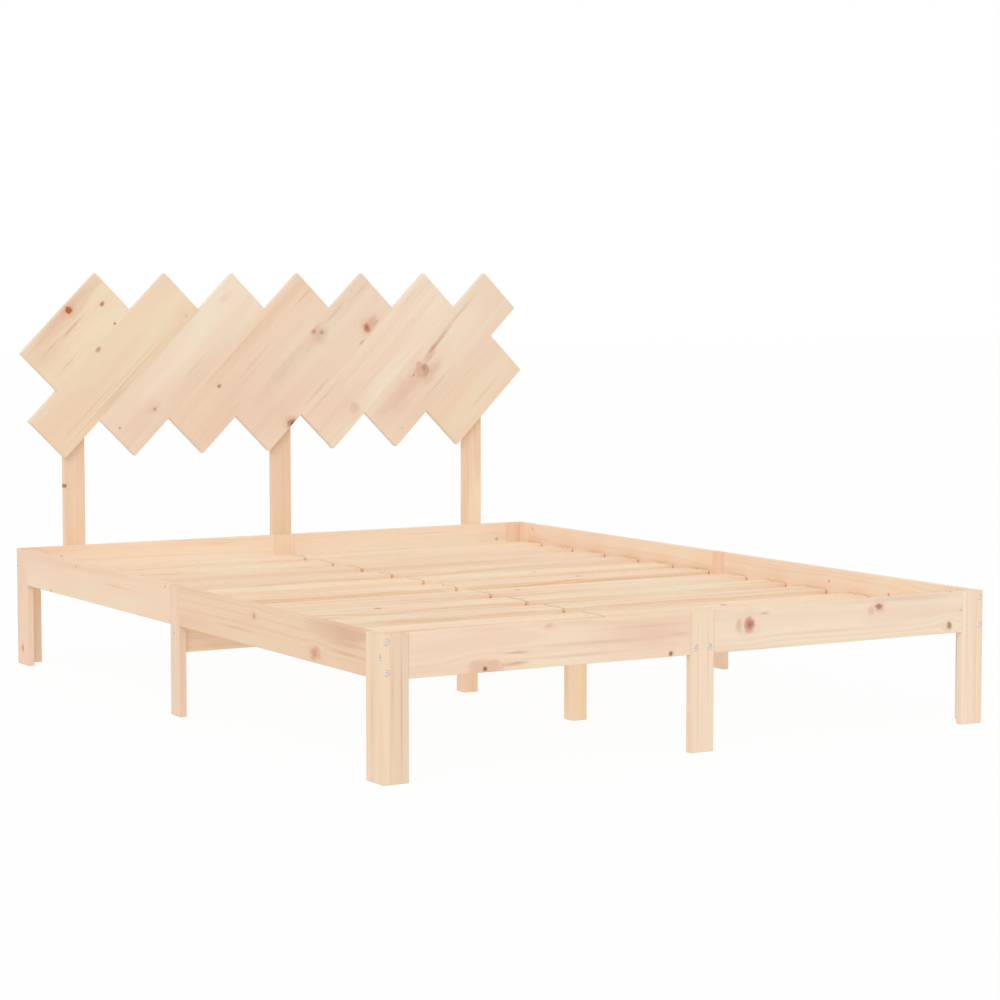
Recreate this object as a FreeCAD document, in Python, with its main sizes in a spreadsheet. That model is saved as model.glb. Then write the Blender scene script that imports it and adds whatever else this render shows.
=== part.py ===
import FreeCAD, Part
import math
import os
from types import SimpleNamespace

import Sketcher
from FreeCAD import Placement, Rotation, Vector

# Pine bed frame, in millimetres. X runs across the bed, +Y points to the headboard and +Z is up.
# The origin is on the floor, under the middle of the whole frame.

doc = FreeCAD.newDocument("PineBedFrame")

# Driving sizes
sizes = {
    # the frame as a whole
    "bedWidth": 1555,
    "bedLength": 2055,
    "railTop": 306,
    "railHeight": 93,
    "boardThickness": 18,
    "edgeEase": 1,
    # legs
    "cornerSideWidth": 73,
    "cornerEndWidth": 60,
    "sideMidWidth": 50,
    "endMidWidth": 60,
    "innerLegWidth": 38,
    "innerLegDepth": 40,
    # beams and ledgers under the slats
    "crossBeamHeight": 93,
    "ledgerHeight": 29,
    "ledgerThickness": 18,
    "centreBeamWidth": 58,
    # slats
    "slatWidth": 90,
    "slatThickness": 12,
    "slatSideGap": 2,
    "slatCentreGap": 10,
    # headboard
    "plankWidth": 141,
    "plankLength": 552,
    "shortPlankLength": 299,
    "plankThickness": 18,
    "plankCentreHeight": 785,
    "plankTilt": 45,
    "postWidth": 58,
    "postThickness": 18,
    "postSpacing": 612,
    "postTop": 930,
    # frame bolts and their barrel nuts
    "boltRadius": 3,
    "boltHeadRadius": 7,
    "boltHeadHeight": 2.5,
    "boltSocketWidth": 4,
    "boltSocketDepth": 2,
    "longBoltLength": 110,
    "shortBoltLength": 60,
    "boltClearance": 0.5,
    "boltRise": 31.5,
    "midBoltSpread": 36.6,
    "nutRadius": 5,
    "nutLength": 14,
    "nutFromTip": 16,
    "nutClearance": 0.1,
    # dowels
    "dowelRadius": 4,
    "dowelLength": 40,
    "dowelChamfer": 1,
    # wood screws
    "screwRadius": 1.75,
    "screwHeadRadius": 3.5,
    "screwTipHeight": 4,
    "screwLength": 30,
    "screwInset": 8,
    # screws that hold the posts on the head rail
    "postScrewRadius": 3,
    "postScrewHeadRadius": 5,
    "postScrewTipHeight": 3,
    "postScrewLength": 33,
}
slatRows = 12
plankCount = 8
sheet = doc.addObject("Spreadsheet::Sheet", "Sizes")
for row, (alias, size) in enumerate(sizes.items(), start=1):
    sheet.set(f"A{row}", alias)
    sheet.set(f"B{row}", str(size))
    sheet.setAlias(f"B{row}", alias)
doc.recompute()
num = SimpleNamespace(**{alias: float(sheet.get(alias)) for alias in sizes})


def value(expression):
    return float(sheet.evalExpression(expression))


# Places that several pieces share, as expressions on the sheet
board = "Sizes.boardThickness"
halfWidth = "Sizes.bedWidth / 2"
halfLength = "Sizes.bedLength / 2"
midY = "-Sizes.postThickness / 2"
headFace = f"{midY} + {halfLength}"
railBottom = "(Sizes.railTop - Sizes.railHeight)"
slatSeat = f"({railBottom} + Sizes.ledgerHeight)"
beamBottom = f"({slatSeat} - Sizes.crossBeamHeight)"
tiltCos = "cos(Sizes.plankTilt * 1 deg)"
tiltSin = "sin(Sizes.plankTilt * 1 deg)"
sides = {"left": -1, "right": 1}
ends = {"foot": -1, "head": 1}


def low(sign, near, size):
    """Low corner of a piece that starts at near on the plus side, or of its mirror image."""
    return f"({near})" if sign > 0 else f"-({near}) - ({size})"


# Boards
def rectangle(body, name, along, across):
    plane = next(o for o in body.Origin.OriginFeatures if o.Role == "XY_Plane")
    sketch = body.newObject("Sketcher::SketchObject", name + "Outline")
    sketch.AttachmentSupport = (plane, [""])
    sketch.MapMode = "FlatFace"
    corners = [Vector(0, 0, 0), Vector(num.railTop, 0, 0)]
    corners += [Vector(num.railTop, num.railHeight, 0), Vector(0, num.railHeight, 0)]
    for start, end in zip(corners, corners[1:] + corners[:1]):
        sketch.addGeometry(Part.LineSegment(start, end), False)
    for edge, kind in enumerate(("Horizontal", "Vertical", "Horizontal", "Vertical")):
        sketch.addConstraint(Sketcher.Constraint("Coincident", edge, 2, (edge + 1) % 4, 1))
        sketch.addConstraint(Sketcher.Constraint(kind, edge))
    sketch.addConstraint(Sketcher.Constraint("Coincident", 0, 1, -1, 1))
    first = sketch.addConstraint(Sketcher.Constraint("DistanceX", 0, 1, 0, 2, num.railTop))
    second = sketch.addConstraint(Sketcher.Constraint("DistanceY", 1, 1, 1, 2, num.railHeight))
    sketch.renameConstraint(first, "along")
    sketch.renameConstraint(second, "across")
    sketch.setExpression("Constraints.along", along)
    sketch.setExpression("Constraints.across", across)
    return sketch


def planedBoard(label, size, corner, tilted=False):
    """A board with eased edges. size and corner are three expressions each."""
    body = doc.addObject("PartDesign::Body", label + "Stock")
    pad = body.newObject("PartDesign::Pad", label + "Pad")
    pad.Profile = rectangle(body, label, size[0], size[1])
    pad.setExpression("Length", size[2])
    ease = body.newObject("PartDesign::Chamfer", label + "Ease")
    ease.Base = (pad, [""])
    ease.UseAllEdges = True
    ease.setExpression("Size", "Sizes.edgeEase")
    body.Tip = ease
    if tilted:
        body.Placement = Placement(Vector(), Rotation(Vector(0, -1, 0), num.plankTilt))
        body.setExpression("Placement.Rotation.Angle", "Sizes.plankTilt")
    for axis, place in zip("xyz", corner):
        body.setExpression(f"Placement.Base.{axis}", place)
    return label, body


stock = []
for end, endSign in ends.items():
    for side, sideSign in sides.items():
        name = f"{end}_{side}"
        # corner leg, glued up from two boards
        sideSize = (board, "Sizes.cornerSideWidth", "Sizes.railTop")
        sideCorner = (
            low(sideSign, f"{halfWidth} - {board}", board),
            f"{midY} + {low(endSign, f'{halfLength} - Sizes.cornerSideWidth', sideSize[1])}",
            "0",
        )
        stock.append(planedBoard(f"corner_leg_{name}_side_board", sideSize, sideCorner))
        endSize = (f"Sizes.cornerEndWidth - {board}", board, "Sizes.railTop")
        endCorner = (
            low(sideSign, f"{halfWidth} - Sizes.cornerEndWidth", endSize[0]),
            f"{midY} + {low(endSign, f'{halfLength} - {board}', board)}",
            "0",
        )
        stock.append(planedBoard(f"corner_leg_{name}_end_board", endSize, endCorner))
        # half of a side rail
        railLength = f"{halfLength} - Sizes.cornerSideWidth - Sizes.sideMidWidth / 2"
        railCorner = (
            low(sideSign, f"{halfWidth} - {board}", board),
            f"{midY} + {low(endSign, 'Sizes.sideMidWidth / 2', railLength)}",
            railBottom,
        )
        railSize = (board, railLength, "Sizes.railHeight")
        stock.append(planedBoard(f"side_rail_{side}_{end}_half", railSize, railCorner))
        # half of the foot or head rail
        railLength = f"{halfWidth} - Sizes.cornerEndWidth - Sizes.endMidWidth / 2"
        railCorner = (
            low(sideSign, "Sizes.endMidWidth / 2", railLength),
            f"{midY} + {low(endSign, f'{halfLength} - {board}', board)}",
            railBottom,
        )
        railSize = (railLength, board, "Sizes.railHeight")
        stock.append(planedBoard(f"{end}_rail_{side}_half", railSize, railCorner))
        # ledger that carries the outer ends of the slats
        ledgerLength = f"{halfLength} - {board} - {board} / 2"
        ledgerNear = f"{halfWidth} - {board} - Sizes.ledgerThickness"
        ledgerCorner = (
            low(sideSign, ledgerNear, "Sizes.ledgerThickness"),
            f"{midY} + {low(endSign, f'{board} / 2', ledgerLength)}",
            railBottom,
        )
        ledgerSize = ("Sizes.ledgerThickness", ledgerLength, "Sizes.ledgerHeight")
        stock.append(planedBoard(f"ledger_{side}_{end}_half", ledgerSize, ledgerCorner))

for side, sideSign in sides.items():
    legSize = (board, "Sizes.sideMidWidth", "Sizes.railTop")
    legCorner = (low(sideSign, f"{halfWidth} - {board}", board), f"{midY} - Sizes.sideMidWidth / 2", "0")
    stock.append(planedBoard(f"mid_leg_{side}", legSize, legCorner))
    beamSize = (f"{halfWidth} - {board}", board, "Sizes.crossBeamHeight")
    beamCorner = (low(sideSign, "0", beamSize[0]), f"{midY} - {board} / 2", beamBottom)
    stock.append(planedBoard(f"cross_beam_{side}_half", beamSize, beamCorner))

for end, endSign in ends.items():
    legSize = ("Sizes.endMidWidth", board, "Sizes.railTop")
    legY = f"{midY} + {low(endSign, f'{halfLength} - {board}', board)}"
    stock.append(planedBoard(f"mid_leg_{end}", legSize, ("-Sizes.endMidWidth / 2", legY, "0")))
    beamLength = f"{halfLength} - {board} - {board} / 2"
    beamSize = ("Sizes.centreBeamWidth", beamLength, "Sizes.ledgerHeight")
    beamY = f"{midY} + {low(endSign, f'{board} / 2', beamLength)}"
    beamCorner = ("-Sizes.centreBeamWidth / 2", beamY, railBottom)
    stock.append(planedBoard(f"centre_beam_{end}_half", beamSize, beamCorner))

# Inner legs at the quarter points of the length. The middle one is notched at its head side for the
# cross beam, whose face lies flush with the leg.
innerPlaces = {
    "foot": f"-{halfLength} / 2 - Sizes.innerLegDepth / 2",
    "middle": f"{board} / 2 - Sizes.innerLegDepth",
    "head": f"{halfLength} / 2 - Sizes.innerLegDepth / 2",
}
for place, offset in innerPlaces.items():
    legSize = ("Sizes.innerLegWidth", "Sizes.innerLegDepth", railBottom)
    legCorner = ("-Sizes.innerLegWidth / 2", f"{midY} + {offset}", "0")
    label, body = planedBoard(f"inner_leg_{place}", legSize, legCorner)
    if place == "middle":
        notch = body.newObject("PartDesign::SubtractiveBox", "BeamNotch")
        notch.setExpression("Length", "Sizes.innerLegWidth")
        notch.setExpression("Width", board)
        notch.setExpression("Height", f"{railBottom} - {beamBottom}")
        notch.setExpression("Placement.Base.y", f"Sizes.innerLegDepth - {board}")
        notch.setExpression("Placement.Base.z", beamBottom)
        body.Tip = notch
    stock.append((label, body))

# Headboard posts, outside the head rail
for place, sign in {"left": -1, "middle": 0, "right": 1}.items():
    postSize = ("Sizes.postWidth", "Sizes.postThickness", f"Sizes.postTop - {railBottom}")
    postCorner = (f"{sign} * Sizes.postSpacing - Sizes.postWidth / 2", headFace, railBottom)
    stock.append(planedBoard(f"headboard_post_{place}", postSize, postCorner))

# Headboard planks, each one board width further along its own length than the one before
plankSpans = []
for index in range(plankCount):
    centre = f"({index} - ({plankCount} - 1) / 2) * Sizes.plankWidth"
    lengthName = "Sizes.shortPlankLength" if index in (0, plankCount - 1) else "Sizes.plankLength"
    longStart = f"({centre} - Sizes.plankLength / 2)"
    start = longStart
    if index == 0:
        start = f"({longStart} + Sizes.plankLength - Sizes.shortPlankLength)"
    side = f"({index + 1} - {plankCount} / 2) * Sizes.plankWidth"
    plankCorner = (
        f"{start} * {tiltCos} + {side} * {tiltSin}",
        f"{headFace} - Sizes.plankThickness",
        f"Sizes.plankCentreHeight + {start} * {tiltSin} - {side} * {tiltCos}",
    )
    plankSize = (lengthName, "Sizes.plankThickness", "Sizes.plankWidth")
    stock.append(planedBoard(f"headboard_plank_{index + 1}", plankSize, plankCorner, tilted=True))
    plankSpans.append((value(start), value(f"{start} + {lengthName}"), value(side)))

# Slats, one row at a time, a left and a right half on the ledgers and the centre beam
slatPitch = f"((Sizes.bedLength - 2 * {board}) / {slatRows})"
slatLength = f"({halfWidth} - {board} - Sizes.slatSideGap - Sizes.slatCentreGap / 2)"
slatRowBodies = []
for row in range(slatRows):
    slatY = f"{midY} - {halfLength} + {board} + ({row} + 1 / 2) * {slatPitch} - Sizes.slatWidth / 2"
    halves = []
    for side, sideSign in sides.items():
        slatX = low(sideSign, "Sizes.slatCentreGap / 2", slatLength)
        slatSize = (slatLength, "Sizes.slatWidth", "Sizes.slatThickness")
        halves.append(planedBoard(f"slat_{row + 1:02d}_{side}", slatSize, (slatX, slatY, slatSeat)))
    slatRowBodies.append((f"slat_row_{row + 1:02d}", halves))
doc.recompute()


# Fasteners, each modelled once with its outer end at zero and its length along +Z
def bound(kind, name, **expressions):
    item = doc.addObject(kind, name)
    for key, expression in expressions.items():
        item.setExpression(key.replace("_", "."), expression)
    return item


def joined(name, parts):
    fuse = doc.addObject("Part::MultiFuse", name)
    fuse.Shapes = parts
    return fuse


def boltModel(name, lengthName):
    head = bound(
        "Part::Cylinder", name + "Head", Radius="Sizes.boltHeadRadius", Height="Sizes.boltHeadHeight"
    )
    shank = bound("Part::Cylinder", name + "Shank", Radius="Sizes.boltRadius", Height=lengthName)
    socket = bound(
        "Part::Prism", name + "Socket",
        Circumradius="Sizes.boltSocketWidth / 2 / cos(30 deg)", Height="Sizes.boltSocketDepth",
    )
    bolt = doc.addObject("Part::Cut", name)
    bolt.Base = joined(name + "Blank", [head, shank])
    bolt.Tool = socket
    return bolt


def boltBore(name, lengthName):
    seat = bound(
        "Part::Cylinder", name + "Seat",
        Radius="Sizes.boltHeadRadius + Sizes.nutClearance", Height="Sizes.boltHeadHeight",
    )
    hole = bound(
        "Part::Cylinder", name + "Hole",
        Radius="Sizes.boltRadius + Sizes.boltClearance", Height=f"{lengthName} + Sizes.boltClearance",
    )
    return joined(name, [seat, hole])


def screwModel(name, radius, headRadius, tipHeight, length):
    headHeight = f"({headRadius} - {radius})"
    head = bound("Part::Cone", name + "Head", Radius1=headRadius, Radius2=radius, Height=headHeight)
    shank = bound(
        "Part::Cylinder", name + "Shank",
        Radius=radius, Height=f"{length} - {tipHeight} - {headHeight}", Placement_Base_z=headHeight,
    )
    tip = bound(
        "Part::Cone", name + "Tip",
        Radius1=radius, Radius2=f"{radius} / 4", Height=tipHeight,
        Placement_Base_z=f"{length} - {tipHeight}",
    )
    return joined(name, [head, shank, tip])


longBolt = boltModel("LongBolt", "Sizes.longBoltLength")
shortBolt = boltModel("ShortBolt", "Sizes.shortBoltLength")
longBore = boltBore("LongBore", "Sizes.longBoltLength")
shortBore = boltBore("ShortBore", "Sizes.shortBoltLength")
woodScrew = screwModel(
    "WoodScrew", "Sizes.screwRadius", "Sizes.screwHeadRadius", "Sizes.screwTipHeight", "Sizes.screwLength"
)
postScrew = screwModel(
    "PostScrew", "Sizes.postScrewRadius", "Sizes.postScrewHeadRadius", "Sizes.postScrewTipHeight",
    "Sizes.postScrewLength",
)
dowelBlank = bound("Part::Cylinder", "DowelBlank", Radius="Sizes.dowelRadius", Height="Sizes.dowelLength")
doc.recompute()
dowel = doc.addObject("Part::Chamfer", "Dowel")
dowel.Base = dowelBlank
dowel.Edges = [(1, num.dowelChamfer, num.dowelChamfer), (3, num.dowelChamfer, num.dowelChamfer)]
nutBlank = bound("Part::Cylinder", "NutBlank", Radius="Sizes.nutRadius", Height="Sizes.nutLength")
nutThread = bound(
    "Part::Cylinder", "NutThread",
    Radius="Sizes.boltRadius", Height="4 * Sizes.nutRadius",
    Placement_Base_y="2 * Sizes.nutRadius", Placement_Base_z="Sizes.nutLength / 2",
)
nutThread.Placement.Rotation = Rotation(Vector(0, 0, 1), Vector(0, -1, 0))
barrelNut = doc.addObject("Part::Cut", "BarrelNut")
barrelNut.Base = nutBlank
barrelNut.Tool = nutThread
doc.recompute()

# Where every fastener goes: its outer end and the direction it is driven in
left, right = Vector(-1, 0, 0), Vector(1, 0, 0)
toFoot, toHead = Vector(0, -1, 0), Vector(0, 1, 0)
down = Vector(0, 0, -1)
middleY = value(midY)
outX = value(halfWidth)
outY = value(halfLength)
bottom = value(railBottom)
seat = value(slatSeat)
half = num.boardThickness / 2
pitch = value(slatPitch)
railMid = num.railTop - num.railHeight / 2
bolts = {
    "long_bolts": (longBolt, longBore, num.longBoltLength),
    "short_bolts": (shortBolt, shortBore, num.shortBoltLength),
}
groups = [*bolts, "barrel_nuts", "wood_dowels", "wood_screws", "post_screws"]
copies = {group: [] for group in groups}
bores = []


def put(model, place, direction):
    shape = model.Shape.copy()
    shape.Placement = Placement(place, Rotation(Vector(0, 0, 1), direction))
    return shape


def addDowel(centre, direction):
    peg = put(dowel, centre - direction * num.dowelLength / 2, direction)
    copies["wood_dowels"].append(peg)
    bores.append(peg)


def addScrew(place, direction):
    screw = put(woodScrew, place, direction)
    copies["wood_screws"].append(screw)
    bores.append(screw)


def addBolt(kind, place, direction, nutDirection, nutMouth):
    """A bolt and its barrel nut. nutMouth is how far the nut's hole runs from the bolt's line."""
    model, bore, length = bolts[kind]
    copies[kind].append(put(model, place, direction))
    bores.append(put(bore, place, direction))
    nutEnd = place + direction * (length - num.nutFromTip) - nutDirection * num.nutLength / 2
    nut = barrelNut.Shape.copy()
    nut.Placement = Placement(nutEnd, Rotation(Vector(), direction, nutDirection, "ZYX"))
    copies["barrel_nuts"].append(nut)
    nutBoreRadius = num.nutRadius + num.nutClearance
    nutBoreDepth = num.nutLength / 2 + nutMouth
    bores.append(Part.makeCylinder(nutBoreRadius, nutBoreDepth, nutEnd, nutDirection))


for endSign, inward in ((-1, toHead), (1, toFoot)):
    faceY = middleY + endSign * outY
    for sideSign, across in ((-1, right), (1, left)):
        faceX = sideSign * outX
        # corner: two bolts into the side rail and one into the foot or head rail
        for rise in (-num.boltRise, num.boltRise):
            place = Vector(faceX + across.x * half, faceY, railMid + rise)
            addBolt("long_bolts", place, inward, across, half + num.ledgerThickness)
        place = Vector(faceX, faceY + inward.y * half, railMid)
        addBolt("long_bolts", place, across, inward, half)
        # dowels beside the bolts
        jointY = faceY + inward.y * num.cornerSideWidth
        addDowel(Vector(faceX + across.x * half, jointY, railMid), inward)
        for jointX in (faceX + across.x * num.cornerEndWidth, sideSign * num.endMidWidth / 2):
            for rise in (-num.railHeight / 4, num.railHeight / 4):
                addDowel(Vector(jointX, faceY + inward.y * half, railMid + rise), across)
        for rise in (-num.railHeight / 4, num.railHeight / 4):
            jointY = middleY + endSign * num.sideMidWidth / 2
            addDowel(Vector(faceX + across.x * half, jointY, railMid + rise), inward)
        # screws through the ledger, between the rows of slats and at its two ends
        ledgerX = faceX + across.x * (num.boardThickness + num.ledgerThickness)
        rows = [num.boardThickness + pitch * step for step in range(1, slatRows // 2)]
        rows += [num.longBoltLength + num.screwInset, outY - half - num.screwInset]
        for along in rows:
            place = Vector(ledgerX, faceY + inward.y * along, bottom + num.ledgerHeight / 2)
            addScrew(place, across * -1)

for sideSign, across in ((-1, right), (1, left)):
    # side leg to cross beam
    beamMid = seat - num.crossBeamHeight / 2
    place = Vector(sideSign * outX, middleY, beamMid)
    addBolt("short_bolts", place, across, toHead, half)
    jointX = outX - num.boardThickness / 3 - num.dowelLength / 2
    for rise in (-num.crossBeamHeight / 4, num.crossBeamHeight / 4):
        addDowel(Vector(sideSign * jointX, middleY, beamMid + rise), across)
    # the two halves of the cross beam to the middle inner leg
    for rise in (-num.crossBeamHeight * 3 / 8, -num.crossBeamHeight / 8):
        addScrew(Vector(sideSign * num.innerLegWidth / 4, middleY + half, beamMid + rise), toFoot)
    # centre beam halves, pegged to each other through the cross beam
    addDowel(Vector(sideSign * num.midBoltSpread / 2, middleY, bottom + num.ledgerHeight / 2), toHead)
for rise in (-num.crossBeamHeight / 4, 0):
    addDowel(Vector(0, middleY, seat - num.crossBeamHeight / 2 + rise), right)

for endSign, inward in ((-1, toHead), (1, toFoot)):
    faceY = middleY + endSign * outY
    for sideSign in sides.values():
        place = Vector(sideSign * num.midBoltSpread / 2, faceY, bottom + num.ledgerHeight / 2)
        addBolt("short_bolts", place, inward, down, num.ledgerHeight / 2)
    legY = middleY + endSign * outY / 2
    addBolt("short_bolts", Vector(0, legY, seat), down, toHead, num.innerLegDepth / 2)

# slats: one screw at each end of each half
for row in range(slatRows):
    rowY = middleY - outY + num.boardThickness + (row + 0.5) * pitch
    for sideSign in sides.values():
        ledgerX = sideSign * (outX - num.boardThickness - num.ledgerThickness / 2)
        for placeX in (ledgerX, sideSign * num.centreBeamWidth / 4):
            addScrew(Vector(placeX, rowY, seat + num.slatThickness), down)

# headboard: posts to the head rail, posts to planks, and planks to each other
headY = value(headFace)
backY = headY + num.postThickness
tilt = math.radians(num.plankTilt)
along = Vector(math.cos(tilt), 0, math.sin(tilt))
downhill = Vector(math.sin(tilt), 0, -math.cos(tilt))
plankMiddle = Vector(0, headY - num.plankThickness / 2, num.plankCentreHeight)
dowelShares = (0.25, 0.75)
for postX in (-num.postSpacing, 0, num.postSpacing):
    for rise in (-num.railHeight / 4, num.railHeight / 4):
        copies["post_screws"].append(put(postScrew, Vector(postX, backY, railMid + rise), toFoot))
        bores.append(copies["post_screws"][-1])
    for start, end, side in plankSpans:
        middle = (postX * math.sin(tilt) - side + num.plankWidth / 2) / math.cos(tilt)
        for shift in (-num.plankWidth / math.cos(tilt) / 4, num.plankWidth / math.cos(tilt) / 4):
            place = Vector(postX, backY, num.plankCentreHeight + middle + shift)
            reach = (place - plankMiddle).dot(along)
            onPost = place.z < num.postTop - num.screwInset
            if onPost and start + num.screwInset < reach < end - num.screwInset:
                addScrew(place, toFoot)
for (start, end, side), (nextStart, nextEnd, _) in zip(plankSpans, plankSpans[1:]):
    first, last = max(start, nextStart), min(end, nextEnd)
    for share in dowelShares:
        addDowel(plankMiddle + along * (first + (last - first) * share) + downhill * side, downhill)

# Each board is bored for the fasteners that reach it
nodes = []


def drilled(label, body):
    reach = [bore for bore in bores if body.Shape.BoundBox.intersect(bore.BoundBox)]
    if not reach:
        body.Label = label
        return body
    tool = doc.addObject("Part::Feature", label + "Bores")
    tool.Shape = Part.makeCompound(reach)
    cut = doc.addObject("Part::Cut", label + "Drilled")
    cut.Base = body
    cut.Tool = tool
    cut.Label = label
    return cut


for label, body in stock:
    nodes.append(drilled(label, body))
for label, halves in slatRowBodies:
    pair = doc.addObject("Part::Compound", label)
    pair.Links = [drilled(halfLabel, body) for halfLabel, body in halves]
    nodes.append(pair)
for label, shapes in copies.items():
    group = doc.addObject("Part::Feature", label)
    group.Shape = Part.makeCompound(shapes)
    group.Label = label
    nodes.append(group)
doc.recompute()

# Checks, then one file per node
for item in doc.Objects:
    if "Invalid" in item.State or "Error" in item.State:
        raise RuntimeError(f"{item.Label} did not build: {item.State}")
for node in nodes:
    if node.Shape.isNull() or not node.Shape.isValid():
        raise RuntimeError(f"{node.Label} has no valid shape")
os.makedirs("parts", exist_ok=True)
for node in nodes:
    node.Shape.exportStep(f"parts/{node.Label}.step")
whole = Part.makeCompound([node.Shape for node in nodes])
print(len(nodes), "nodes,", len(whole.Solids), "solids, box", whole.BoundBox)
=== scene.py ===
import math
import random

import bpy
import numpy as np
from mathutils import Matrix, Vector


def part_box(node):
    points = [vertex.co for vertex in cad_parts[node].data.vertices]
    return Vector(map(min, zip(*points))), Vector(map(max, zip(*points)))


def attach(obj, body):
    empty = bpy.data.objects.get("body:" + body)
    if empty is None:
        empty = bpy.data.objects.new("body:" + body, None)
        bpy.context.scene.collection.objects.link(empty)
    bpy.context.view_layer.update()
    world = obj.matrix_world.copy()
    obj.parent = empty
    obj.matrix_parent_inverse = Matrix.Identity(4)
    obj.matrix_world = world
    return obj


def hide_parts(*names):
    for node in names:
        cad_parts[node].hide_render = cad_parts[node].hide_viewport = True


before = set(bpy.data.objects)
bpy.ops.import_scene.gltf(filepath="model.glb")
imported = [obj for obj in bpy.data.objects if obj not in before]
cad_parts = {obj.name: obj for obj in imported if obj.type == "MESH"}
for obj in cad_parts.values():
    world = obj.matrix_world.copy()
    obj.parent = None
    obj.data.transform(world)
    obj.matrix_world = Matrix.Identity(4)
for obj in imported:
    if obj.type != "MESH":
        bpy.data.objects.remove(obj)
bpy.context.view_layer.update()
scene = bpy.context.scene
mm = 0.001
axisX, axisY, axisZ = Vector((1, 0, 0)), Vector((0, 1, 0)), Vector((0, 0, 1))
print("frame loaded,", len(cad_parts), "nodes")


def paint(red, green, blue):
    # a colour as a paint program shows it, 0 to 255, turned into Blender's linear values by the sRGB curve
    shares = [channel / 255 for channel in (red, green, blue)]
    linear = [share / 12.92 if share < 0.04 else ((share + 0.055) / 1.055) ** 2.4 for share in shares]
    return (*linear, 1.0)


# Node helpers, the same for shader and geometry trees
def addNode(tree, kind, inputs=None, **settings):
    node = tree.nodes.new(kind)
    for name, setting in settings.items():
        setattr(node, name, setting)
    for key, source in (inputs or {}).items():
        if isinstance(source, bpy.types.NodeSocket):
            tree.links.new(source, node.inputs[key])
        else:
            node.inputs[key].default_value = source
    return node


def calc(tree, operation, *values):
    return addNode(tree, "ShaderNodeMath", dict(enumerate(values)), operation=operation).outputs[0]


def chain(tree, operation, first, others):
    for other in others:
        first = calc(tree, operation, first, other)
    return first


def plus(tree, first, *others):
    return chain(tree, "ADD", first, others)


def minus(tree, first, second):
    return calc(tree, "SUBTRACT", first, second)


def times(tree, first, *others):
    return chain(tree, "MULTIPLY", first, others)


def over(tree, first, second):
    return calc(tree, "DIVIDE", first, second)


def larger(tree, first, *others):
    return chain(tree, "MAXIMUM", first, others)


def smaller(tree, first, *others):
    return chain(tree, "MINIMUM", first, others)


def vectorCalc(tree, operation, *values):
    node = addNode(tree, "ShaderNodeVectorMath", dict(enumerate(values)), operation=operation)
    return node.outputs["Value" if operation == "LENGTH" else "Vector"]


def fade(tree, value, start, end, low=0.0, high=1.0):
    # goes smoothly from low at start to high at end, and start may be the larger of the two
    ends = {"Value": value, "From Min": start, "From Max": end, "To Min": low, "To Max": high}
    return addNode(tree, "ShaderNodeMapRange", ends, interpolation_type="SMOOTHSTEP").outputs[0]


def split(tree, vector):
    return addNode(tree, "ShaderNodeSeparateXYZ", {0: vector}).outputs


def combine(tree, x, y, z):
    return addNode(tree, "ShaderNodeCombineXYZ", {0: x, 1: y, 2: z}).outputs[0]


def mixColour(tree, factor, first, second):
    inputs = {0: factor, 6: first, 7: second}
    return addNode(tree, "ShaderNodeMix", inputs, data_type="RGBA").outputs[2]


def noise(tree, vector, stretch, seed, detail=2.0):
    stretched = vectorCalc(tree, "MULTIPLY", vector, stretch)
    inputs = {"Vector": stretched, "W": seed, "Scale": 1.0, "Detail": detail}
    return addNode(tree, "ShaderNodeTexNoise", inputs, noise_dimensions="4D").outputs


def newGroup(name, kind, inputs, outputs):
    # sockets are name: kind, or name: (kind, value)
    tree = bpy.data.node_groups.new(name, kind)
    for direction, sockets in (("INPUT", inputs), ("OUTPUT", outputs)):
        for label, given in sockets.items():
            socketKind, value = given if isinstance(given, tuple) else (given, None)
            socket = tree.interface.new_socket(label, in_out=direction, socket_type="NodeSocket" + socketKind)
            if value is not None:
                socket.default_value = value
    return tree, tree.nodes.new("NodeGroupInput").outputs, tree.nodes.new("NodeGroupOutput").inputs


# Shared surface effects. Board coordinates run x along the grain, y across it and z through the board.
# A shade is where it starts, where it is full and, where given, its strength at either place.
# In knotForm lengths are in radii of the knot, and the seeds are times its radius in metres.
knotForm = {
    "stray": (0.2, 0.8, -0.24, 0.24),  # the outline strays from a round one
    "strayWaves": (1.3, 1.3, 1.0),
    "straySeed": 900.0,
    "softEdge": 0.3,  # how much further out a soft mark begins
    "crispEdge": 0.85,  # where a crisp mark has its full strength
    "rimInside": (0.66, 1.0),
    "rimOutside": (1.26, 1.02),
    "rimBreaks": (0.4, 0.6, 0.25, 1.0),  # the rim thins out and comes back on its way round
    "rimWaves": (0.8, 0.8, 1.0),
    "rimSeed": 500.0,
    "core": (0.55, 0.05),
    "years": 3.2,  # year rings inside a knot, to the radius
    "yearShade": (0.1, 0.5, 0.0, 0.12),
    "halo": (3.2, 0.9),
    "haloFall": 1.7,
    "flow": 0.7,  # how far the parted grain follows the stretch of the knot
}


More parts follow.
